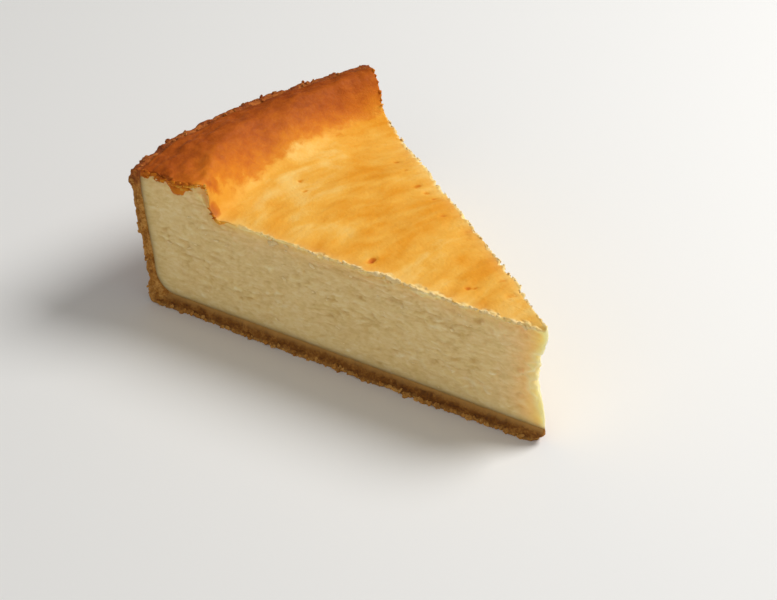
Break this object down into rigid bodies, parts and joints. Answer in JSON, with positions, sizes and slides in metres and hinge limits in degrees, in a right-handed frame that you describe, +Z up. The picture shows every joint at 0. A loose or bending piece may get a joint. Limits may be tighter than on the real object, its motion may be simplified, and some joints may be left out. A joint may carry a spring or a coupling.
{
  "type": "baked cheesecake slice",
  "caption": "Wedge of baked cheesecake: a set cheese filling with a browned top and raised rim, in a thin shortcrust case.",
  "frame": {"origin": "middle of the underside's box, on the surface that the slice stands on", "axes": "+Y from the tip to the rim, +Z up, so the near cut of the picture faces -X"},
  "size_m": [0.0844, 0.1314, 0.0452],
  "materials": {
    "cheese_filling": null,
    "shortcrust": null
  },
  "bodies": {
    "root": {"filling": "cheese_filling", "pastry_crust": "shortcrust"}
  },
  "joints": []
}
